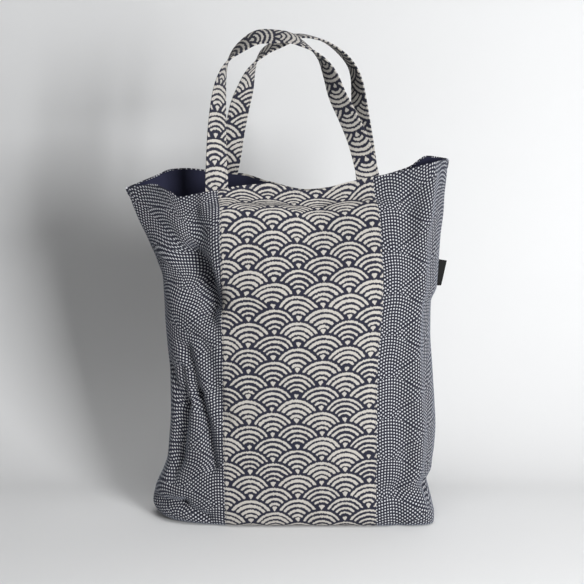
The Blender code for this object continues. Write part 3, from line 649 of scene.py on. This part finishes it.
def labelMesh():
    size = labelSize
    low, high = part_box("side_label")
    seam = ring[body["baseRows"]:, columnCount - 1]
    rowsUp = np.linspace(low.z, high.z, size["rows"])
    nearX = np.interp(rowsUp, seam[:, 2], seam[:, 0]) + size["gap"]
    nearY = np.interp(rowsUp, seam[:, 2], seam[:, 1])
    share = (rowsUp - low.z) / (high.z - low.z)
    reach = (high.x - nearX.max()) * (size["slant"] + (1 - size["slant"]) * share)
    turn = np.linspace(-math.pi / 2, math.pi / 2, size["turn"])
    count = 2 * size["straight"] + size["turn"]
    skins = []
    for half in (size["thick"] / 2, size["thick"] / 2 - size["layer"]):
        skin = np.zeros((len(rowsUp), count, 3))
        for k in range(len(rowsUp)):
            end = reach[k] - size["thick"] / 2
            straight = np.linspace(0, 1, size["straight"] + 1)[:-1] * end
            beside = np.full(size["straight"], half)
            x = np.concatenate([straight, end + half * np.cos(turn), straight[::-1]])
            y = np.concatenate([-beside, half * np.sin(turn), beside])
            bend = size["bend"] * math.sin(3.0 * share[k]) * (x / reach[k]) ** 2
            skin[k] = np.stack([nearX[k] + x, nearY[k] + y + bend,
                                rowsUp[k] - size["droop"] * share[k] * x / reach[k]], axis=1)
        skins.append(skin)
    across = np.linspace(0, size["tape"], count)
    uv = np.stack(np.broadcast_arrays(across[None], rowsUp[:, None]), axis=-1)
    made = wallMesh("sideTag", skins[0], skins[1], uv)
    turnOutward(made)
    return made


def addNode(tree, kind, inputs=(), **settings):
    # A node with its settings and with values on its own sockets
    node = tree.nodes.new(kind)
    for name, value in settings.items():
        setattr(node, name, value)
    for name, value in dict(inputs).items():
        node.inputs[name].default_value = value
    return node


def stitchTree():
    # Puts one small stitch at each step along a line
    tree = bpy.data.node_groups.new("Stitch rows", "GeometryNodeTree")
    for name, kind in (("Geometry", "Geometry"), ("Step", "Float"), ("Length", "Float"),
                       ("Width", "Float"), ("Thread", "Material")):
        tree.interface.new_socket(name=name, in_out="INPUT", socket_type="NodeSocket" + kind)
    tree.interface.new_socket(name="Geometry", in_out="OUTPUT", socket_type="NodeSocketGeometry")
    given, result = addNode(tree, "NodeGroupInput"), addNode(tree, "NodeGroupOutput")
    line = addNode(tree, "GeometryNodeMeshToCurve")
    places = addNode(tree, "GeometryNodeCurveToPoints", mode="LENGTH")
    stitch = addNode(tree, "GeometryNodeMeshUVSphere", dict(Segments=6, Rings=5, Radius=0.5))
    align = addNode(tree, "FunctionNodeAlignRotationToVector", axis="Z")
    size = addNode(tree, "ShaderNodeCombineXYZ")
    vary = addNode(tree, "FunctionNodeRandomValue",
                   dict(Min=(0.85, 0.85, 0.86), Max=(1.12, 1.12, 1.08), Seed=7), data_type="FLOAT_VECTOR")
    scale = addNode(tree, "ShaderNodeVectorMath", operation="MULTIPLY")
    copies = addNode(tree, "GeometryNodeInstanceOnPoints")
    real = addNode(tree, "GeometryNodeRealizeInstances")
    shade = addNode(tree, "GeometryNodeSetShadeSmooth")
    finish = addNode(tree, "GeometryNodeSetMaterial")
    for source, output, target, entry in (
            (given, "Geometry", line, 0), (line, 0, places, "Curve"), (given, "Step", places, "Length"),
            (places, "Points", copies, "Points"), (places, "Tangent", align, "Vector"),
            (align, "Rotation", copies, "Rotation"), (stitch, "Mesh", copies, "Instance"),
            (given, "Width", size, "X"), (given, "Width", size, "Y"), (given, "Length", size, "Z"),
            (size, 0, scale, 0), (vary, 0, scale, 1), (scale, 0, copies, "Scale"),
            (copies, "Instances", real, 0), (real, 0, shade, 0), (shade, 0, finish, "Geometry"),
            (given, "Thread", finish, "Material"), (finish, "Geometry", result, "Geometry")):
        tree.links.new(source.outputs[output], target.inputs[entry])
    return tree


def stitchRows(name, lines, step, length, width, thread):
    # Rows of stitches along the lines, as one plain mesh
    points, edges = [], []
    for line in lines:
        edges += [(len(points) + k, len(points) + k + 1) for k in range(len(line) - 1)]
        points += [tuple(point) for point in line]
    mesh = bpy.data.meshes.new(name + " line")
    mesh.from_pydata(points, edges, [])
    source = addObject(name + " line", mesh)
    modifier = source.modifiers.new("Stitches", "NODES")
    modifier.node_group = stitches
    values = dict(Step=step, Length=length, Width=width, Thread=thread)
    for item in stitches.interface.items_tree:
        if item.in_out == "INPUT" and item.name in values:
            modifier[item.identifier] = values[item.name]
    bpy.context.view_layer.update()
    ready = source.evaluated_get(bpy.context.evaluated_depsgraph_get())
    made = addObject(name, bpy.data.meshes.new_from_object(ready))
    bpy.data.objects.remove(source)
    return made


class Value:
    # A number in a material; arithmetic with it adds math nodes
    def __init__(self, tree, socket):
        self.tree = tree
        self.socket = socket

    def __add__(self, other):
        return sums("ADD", self, other)

    def __sub__(self, other):
        return sums("SUBTRACT", self, other)

    def __rsub__(self, other):
        return sums("SUBTRACT", other, self)

    def __mul__(self, other):
        return sums("MULTIPLY", self, other)

    def __truediv__(self, other):
        return sums("DIVIDE", self, other)

    def __mod__(self, other):
        return sums("FLOORED_MODULO", self, other)

    __radd__, __rmul__ = __add__, __mul__


def sums(kind, *values):
    # One math node
    tree = next(value.tree for value in values if isinstance(value, Value))
    node = addNode(tree, "ShaderNodeMath", operation=kind)
    for entry, value in zip(node.inputs, values):
        if isinstance(value, Value):
            tree.links.new(value.socket, entry)
        else:
            entry.default_value = value
    return Value(tree, node.outputs[0])


def mix(share, low, high):
    return low + share * (high - low)


def edge(value, soft):
    # 0 below the edge and 1 above it
    node = addNode(value.tree, "ShaderNodeMapRange", {"From Min": -soft, "From Max": soft},
                   interpolation_type="SMOOTHSTEP")
    value.tree.links.new(value.socket, node.inputs["Value"])
    return Value(value.tree, node.outputs["Result"])


def chance(one, two):
    # Three values from -1 to 1 that belong to a pair of whole numbers
    tree = one.tree
    pair = addNode(tree, "ShaderNodeCombineXYZ")
    for entry, value in zip(pair.inputs, (one + 0.5, two + 0.5)):
        tree.links.new(value.socket, entry)
    node = addNode(tree, "ShaderNodeTexWhiteNoise", noise_dimensions="2D")
    tree.links.new(pair.outputs[0], node.inputs["Vector"])
    split = addNode(tree, "ShaderNodeSeparateColor")
    tree.links.new(node.outputs["Color"], split.inputs[0])
    return [(Value(tree, output) - 0.5) * 2 for output in split.outputs[:3]]


def grain(place, scale, detail=2.0, stretch=(1, 1, 1)):
    # Noise from about -1 to 1
    move = addNode(place.tree, "ShaderNodeVectorMath", {1: stretch}, operation="MULTIPLY")
    place.tree.links.new(place.socket, move.inputs[0])
    node = addNode(place.tree, "ShaderNodeTexNoise", dict(Scale=scale, Detail=detail))
    place.tree.links.new(move.outputs[0], node.inputs["Vector"])
    return (Value(place.tree, node.outputs["Fac"]) - 0.5) * 2


def scallops(x, y):
    # Overlapping discs of radius 1 in rows half a radius apart, the lower rows in front. Gives
    # the way from the middle of the disc that shows (across, up, distance), its row and column,
    # and how near the discs in front of it are.
    first = sums("CEIL", y * 2 - 2)
    found = []
    for n in (-1, 0, 1, 2):
        row = first + n
        dx = (x - row % 2 + 1) % 2 - 1
        dy = y - row * 0.5
        found.append((dx, dy, sums("SQRT", dx * dx + dy * dy), row, sums("ROUND", x - dx)))
    away = [disc[2] for disc in found]
    inFirst, inSecond = sums("LESS_THAN", away[1], 1), sums("LESS_THAN", away[2], 1)
    chosen = [mix(inFirst, mix(inSecond, third, second), one)
              for one, second, third in zip(*found[1:])]
    front = [away[0], sums("MINIMUM", away[0], away[1]), sums("MINIMUM", away[1], away[2])]
    return chosen, mix(inFirst, mix(inSecond, front[2], front[1]), front[0])


wavePrint = dict(across=0.0286, up=0.0300, slope=0.033, phaseX=0.003, phaseY=0.007,
                 bands=((0.906, 0.046), (0.722, 0.052), (0.520, 0.047), (0.338, 0.043)),
                 spread=0.06, thickness=0.15, margin=1.055, round=0.035, soft=0.014,
                 fanTop=0.195, fanSin=0.60, fanCos=0.80, fanRound=0.045)


def roundMeet(one, two, curve):
    # How far inside both of two edges a point is, with a round corner where they meet
    one, two = sums("MAXIMUM", curve - one, 0), sums("MAXIMUM", curve - two, 0)
    return curve - sums("SQRT", one * one + two * two)


def waveInk(place, u, v):
    # The hand-drawn arcs and the small fan of each scallop, as a mask
    size = wavePrint
    x = u / size["across"] + grain(place, 190) * 0.030 + grain(place, 22, 1.0) * 0.10
    y = v / size["up"] + grain(place, 480, 1.0) * 0.045
    (dx, dy, away, row, column), front = scallops(x, y)
    one, two, three = chance(row, column)
    swell = 1 + grain(place, 75, 1.0) * 0.26 + one * size["thickness"]
    drawn = 0.96 - (0.96 - away) * (1 + two * size["spread"])
    inBand = None
    for middle, half in size["bands"]:
        here = swell * half - sums("ABSOLUTE", drawn - middle)
        inBand = here if inBand is None else sums("MAXIMUM", inBand, here)
    arcs = roundMeet(inBand, front - size["margin"], size["round"])
    wedge = dy * size["fanSin"] - sums("ABSOLUTE", dx) * size["fanCos"]
    fan = roundMeet(wedge, size["fanTop"] + three * 0.02 - away, size["fanRound"])
    return edge(sums("MAXIMUM", arcs, fan), size["soft"])


dotPrint = dict(radius=0.0485, rings=13, pitch=0.0035, dot=0.00092, vary=0.00010, soft=0.00024,
                left=(-0.055, -0.0026), right=(0.014, 0.0335))


def dotInk(place, u, v):
    # Small dots set out along the arcs of overlapping discs
    radius = dotPrint["radius"]
    x = u / radius + grain(place, 16, 1.0) * 0.05
    y = v / radius + grain(place, 21, 1.0) * 0.05
    dx, dy, distance = scallops(x, y)[0][:3]
    share = dotPrint["rings"] + 0.5                    # leaves the edge of the disc bare
    circle = 2 * math.pi * radius / share              # length of the first ring of dots
    ringNumber = sums("MINIMUM", sums("ROUND", distance * share), dotPrint["rings"])
    off = (distance * share - ringNumber) * (radius / share)
    count = sums("MAXIMUM", sums("ROUND", ringNumber * (circle / dotPrint["pitch"])), 1)
    turn = sums("ARCTAN2", dx, dy) / (2 * math.pi) * count
    arc = (sums("FRACT", turn + 0.5) - 0.5) * (ringNumber * circle / count)
    away = sums("SQRT", off * off + arc * arc)
    size = dotPrint["dot"] + grain(place, 600, 1.0) * dotPrint["vary"]
    return edge(size - away, dotPrint["soft"])


def newFinish(name, values):
    # A material and its shader, with values on the shader's own sockets
    made = bpy.data.materials.new(name)
    made.use_nodes = True
    shader = made.node_tree.nodes["Principled BSDF"]
    for socket, value in values.items():
        shader.inputs[socket].default_value = value
    return made, shader


weaveSize = dict(thread=0.00055, height=0.00012, strength=0.5, slubs=0.10, cloud=0.07, wear=0.35)


def cloth(name, ground, ink=None, pattern=None, rough=0.88, sheen=0.08, sheenTint=(1, 1, 1),
          shiftU=0.0, shiftV=0.0, slope=0.0):
    # Woven cotton: a print with worn edges, slubs in both directions, and a fine weave
    made, shader = newFinish(name, {
        "Roughness": rough, "Sheen Weight": sheen, "Sheen Roughness": 0.45,
        "Sheen Tint": (*sheenTint, 1), "Specular IOR Level": 0.25})
    tree, link = made.node_tree, made.node_tree.links.new
    source = addNode(tree, "ShaderNodeUVMap", uv_map="cloth")
    parts = addNode(tree, "ShaderNodeSeparateXYZ")
    link(source.outputs[0], parts.inputs[0])
    place, across, up = (Value(tree, one) for one in (source.outputs[0], *parts.outputs[:2]))
    u = across - shiftU
    v = up - shiftV - u * slope
    slubs = grain(place, 1000, 3.0, (1.6, 0.10, 1)) + grain(place, 1000, 3.0, (0.10, 1.6, 1))
    level = 1 + (slubs * weaveSize["slubs"] + grain(place, 38, 3.0) * weaveSize["cloud"])
    colour = addNode(tree, "ShaderNodeMix", dict(A=(*ground, 1), B=(*(ink or ground), 1), Factor=0),
                     data_type="RGBA")
    if pattern:
        worn = 1 - sums("MAXIMUM", slubs - 0.35, 0) * weaveSize["wear"]
        link((pattern(place, u, v) * worn).socket, colour.inputs["Factor"])
    tint = addNode(tree, "ShaderNodeMix", dict(Factor=1), data_type="RGBA", blend_type="MULTIPLY")
    grey = addNode(tree, "ShaderNodeCombineXYZ")
    for entry in grey.inputs:
        link(level.socket, entry)
    link(colour.outputs["Result"], tint.inputs["A"])
    link(grey.outputs[0], tint.inputs["B"])
    link(tint.outputs["Result"], shader.inputs["Base Color"])
    turns = 2 * math.pi / weaveSize["thread"]
    weave = sums("SINE", across * turns) * sums("SINE", up * turns)
    bump = addNode(tree, "ShaderNodeBump",
                   dict(Strength=weaveSize["strength"], Distance=weaveSize["height"]))
    link((slubs * 0.5 + weave * 0.35).socket, bump.inputs["Height"])
    link(bump.outputs[0], shader.inputs["Normal"])
    return made


# Colours of the print as lit cloth has them
navy = (0.013, 0.0136, 0.026)
darkNavy = (0.0105, 0.0108, 0.0195)
cream = (0.415, 0.392, 0.358)
paleDot = (0.47, 0.474, 0.495)
liningNavy = (0.014, 0.015, 0.034)
tagBlack = (0.0035, 0.0035, 0.0034)
waveFront = cloth("Wave print", navy, cream, waveInk, shiftU=wavePrint["phaseX"],
                  shiftV=wavePrint["phaseY"], slope=wavePrint["slope"])
waveStrap = {side: cloth(f"Wave print on the {side} handle", navy, cream, waveInk,
                         shiftU=share * strapSize["width"], shiftV=-0.010)
             for side, share in (("front", 0.40), ("back", -0.04))}
dots = {word: cloth(f"Dot print {word}", darkNavy, paleDot, dotInk, sheen=0.20,
                    sheenTint=(0.68, 0.78, 1.0), shiftU=dotPrint[word][0], shiftV=dotPrint[word][1])
        for word in ("left", "right")}
plainNavy = cloth("Lining cloth", liningNavy, rough=0.92)
tape = cloth("Tag tape", tagBlack, rough=0.8, sheen=0.02)
darkThread = newFinish("Dark thread", {"Base Color": (0.022, 0.024, 0.045, 1), "Roughness": 0.6})[0]
stitches = stitchTree()

pieces = {}
cuts = (0, seamIndex[1], seamIndex[2], columnCount - 1)
for side in faceSign:
    for k, word in enumerate(("left", "center", "right")):
        made = panel(f"{side}{word.capitalize()}Cloth", side, cuts[k], cuts[k + 1])
        made.data.materials.append(waveFront if word == "center" else dots[word])
        "wave_cloth" if word == "center" else "dot_cloth"
        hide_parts(f"{side}_{word}_panel")
        pieces[side, word] = made
        print("panel", made.name, len(made.data.polygons))

# Topstitching beside the seams of the middle panels and below the rim, and along the handles
seamStitch = dict(away=0.0024, rim=0.0030, lift=0.00005, row=(0.0031, 0.0024, 0.00045))
strapStitch = dict(row=(0.0030, 0.0023, 0.00042))       # step, length and width of a stitch
stitchPieces = {}
for side in faceSign:
    columns = faceColumns(side)
    lines = {}
    for place, sign in ((seamPlaces[1], 1), (seamPlaces[2], -1)):
        k = int(np.argmin(np.abs(columnsAt - (place + sign * seamStitch["away"]))))
        lines.setdefault("center", []).append(ring[body["baseRows"] + 2:-2, columns[k]])
    away = unit(ring[-3] - ring[-1]) * seamStitch["rim"]
    for k, word in enumerate(("left", "center", "right")):
        span = columns[cuts[k]:cuts[k + 1] + 1]
        rim = ring[-1, span] + away[span] + unit(ways[-1, span]) * seamStitch["lift"]
        lines.setdefault(word, []).append(rim)
        stitchPieces[side, word] = stitchRows(f"{side}{word.capitalize()}Stitches", lines[word],
                                              *seamStitch["row"], darkThread)

handles = {}
for side, way in (("front", frontWay), ("back", backWay)):
    made, lines, length = strapMesh(f"{side}Strap", side, way)
    made.data.materials.append(waveStrap[side])
    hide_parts(f"{side}_handle")
    sewn = stitchRows(f"{side}StrapStitches", lines, *strapStitch["row"], darkThread)
    handles[side] = (made, length, sewn)
    print("handle", side, "length", round(length, 4), len(made.data.polygons))

lining = liningMesh()
lining.data.materials.append(plainNavy)
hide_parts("lining")
tag = labelMesh()
tag.data.materials.append(tape)
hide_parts("side_label")

for (side, word), made in pieces.items():
    wide = body["middleCloth"] if word == "center" else sideCloth
    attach(made, "root")
    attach(stitchPieces[side, word], "root")
for made, length, sewn in handles.values():
    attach(made, "root")
    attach(sewn, "root")
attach(lining, "root")
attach(tag, "root")
print("pieces dressed")

# A pale studio: a floor that sweeps up into a wall close behind the bag
sweep = dict(front=-2.2, wall=0.37, curve=0.28, half=2.6, top=2.4, steps=40)


def studio():
    angles = np.linspace(0, math.pi / 2, sweep["steps"])
    start = sweep["wall"] - sweep["curve"]
    line = [(sweep["front"], 0.0)] + [(start + sweep["curve"] * math.sin(a),
                                       sweep["curve"] * (1 - math.cos(a))) for a in angles]
    line.append((sweep["wall"], sweep["top"]))
    points = [(x, y, z) for y, z in line for x in (-sweep["half"], sweep["half"])]
    quads = [(2 * k, 2 * k + 1, 2 * k + 3, 2 * k + 2) for k in range(len(line) - 1)]
    mesh = bpy.data.meshes.new("Backdrop")
    mesh.from_pydata(points, [], quads)
    mesh.shade_smooth()
    paint, shader = newFinish("Backdrop paper", {
        "Base Color": (0.68, 0.68, 0.68, 1), "Roughness": 0.95, "Specular IOR Level": 0.1})
    # The paper's back is clear, so that the bag can be seen from behind too
    tree, link = paint.node_tree, paint.node_tree.links.new
    either = addNode(tree, "ShaderNodeMixShader")
    link(addNode(tree, "ShaderNodeNewGeometry").outputs["Backfacing"], either.inputs[0])
    link(shader.outputs[0], either.inputs[1])
    link(addNode(tree, "ShaderNodeBsdfTransparent").outputs[0], either.inputs[2])
    link(either.outputs[0], tree.nodes["Material Output"].inputs["Surface"])
    mesh.materials.append(paint)
    return addObject("Backdrop", mesh)


def areaLight(name, place, target, size, watts, colour, spread):
    data = bpy.data.lights.new(name, "AREA")
    data.shape = "RECTANGLE"
    data.size, data.size_y = size
    data.energy = watts
    data.color = colour
    data.spread = math.radians(spread)
    made = addObject(name, data)
    made.location = place
    made.rotation_euler = (Vector(target) - Vector(place)).to_track_quat("-Z", "Y").to_euler()


# Where each light stands and what it looks at, its size, power, colour and spread
studioLights = dict(
    Key=((1.15, -1.85, 0.62), (0, 0, 0.25), (0.70, 0.80), 62, (0.98, 0.99, 1.0), 180),
    Overhead=((0.25, -0.70, 1.90), (0.25, -0.70, 0), (1.6, 1.0), 6.4, (0.99, 0.995, 1.0), 80))
studio()
for name, values in studioLights.items():
    areaLight(name, *values)
world = bpy.data.worlds.new("Studio")
world.use_nodes = True
background = world.node_tree.nodes["Background"]
background.inputs["Color"].default_value = (0.98, 0.99, 1.0, 1)
background.inputs["Strength"].default_value = 0.07
bpy.context.scene.world = world
bpy.context.scene.view_settings.view_transform = "Standard"

view = dict(lens=75, sensor=36, distance=1.425, tilt=math.radians(10), aimX=0.0052, aimZ=0.2706)
camera = addObject("Camera", bpy.data.cameras.new("Camera"))
camera.data.lens, camera.data.sensor_width = view["lens"], view["sensor"]
aim = Vector((view["aimX"] + shift[0], shift[1], view["aimZ"]))
away = Vector((0, -math.cos(view["tilt"]), math.sin(view["tilt"]))) * view["distance"]
camera.location = aim + away
camera.rotation_euler = (-away).to_track_quat("-Z", "Y").to_euler()
bpy.context.scene.camera = camera
